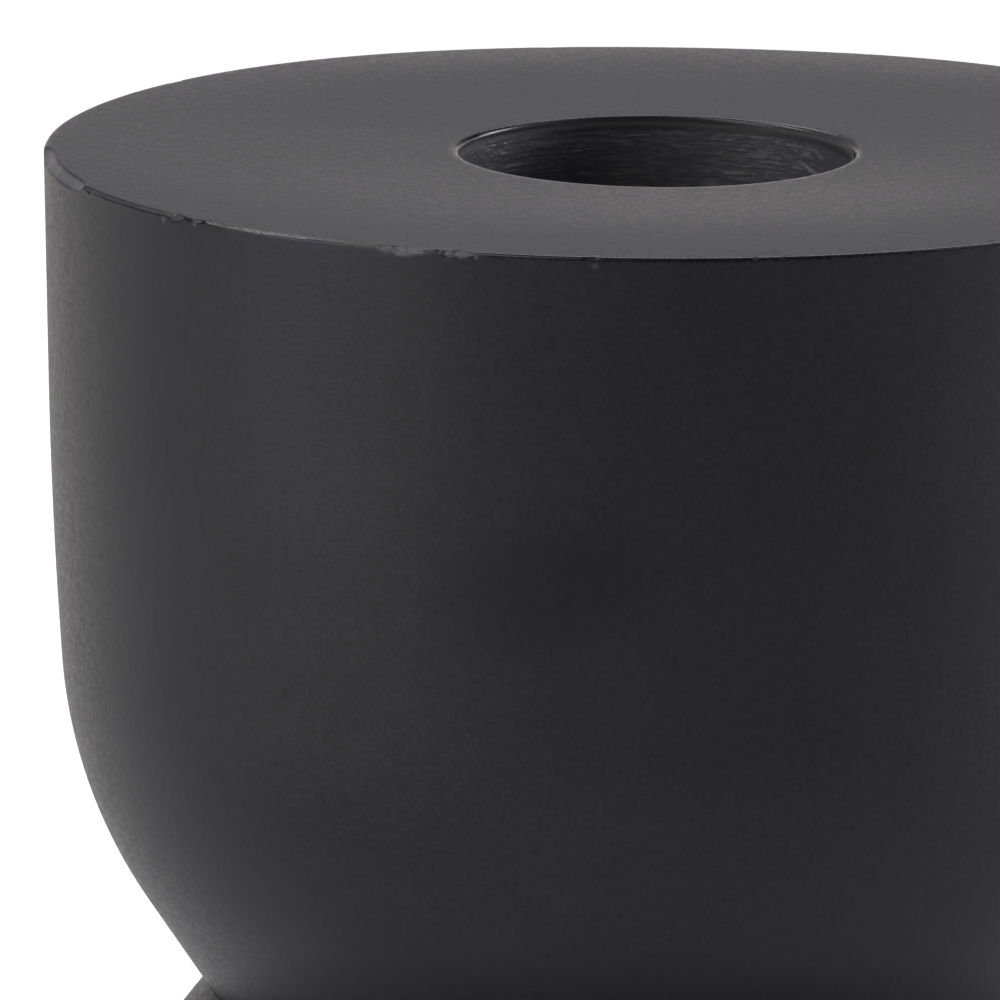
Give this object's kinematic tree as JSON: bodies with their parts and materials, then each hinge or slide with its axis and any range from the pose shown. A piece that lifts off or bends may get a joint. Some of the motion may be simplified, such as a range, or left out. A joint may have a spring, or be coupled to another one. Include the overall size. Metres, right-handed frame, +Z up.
{
  "type": "taper candle holder",
  "caption": "Stacked totem candle holder in matte black turned wood, with a steel-lined socket for a taper candle and a felt foot.",
  "frame": {"origin": "centre of the felt pad's underside, on the turning axis", "axes": "+Z up along the turning axis; +X and +Y level"},
  "size_m": [0.07, 0.07, 0.1431],
  "materials": {
    "black_lacquered_wood": "matte black lacquer on turned hardwood",
    "blackened_steel": "thin satin black coat over turned steel",
    "zinc_plated_steel": "bright zinc plate",
    "raw_cast_iron": "as cast, oiled",
    "black_felt": "dense pressed wool felt"
  },
  "bodies": {
    "root": {"candle_cup": "black_lacquered_wood", "socket_liner": "blackened_steel", "head_washer": "zinc_plated_steel", "tie_bolt": "zinc_plated_steel", "ball": "black_lacquered_wood", "base": "black_lacquered_wood", "base_weight": "raw_cast_iron", "nut_washer": "zinc_plated_steel", "lock_washer": "zinc_plated_steel", "nut": "zinc_plated_steel", "felt_pad": "black_felt"}
  },
  "joints": []
}
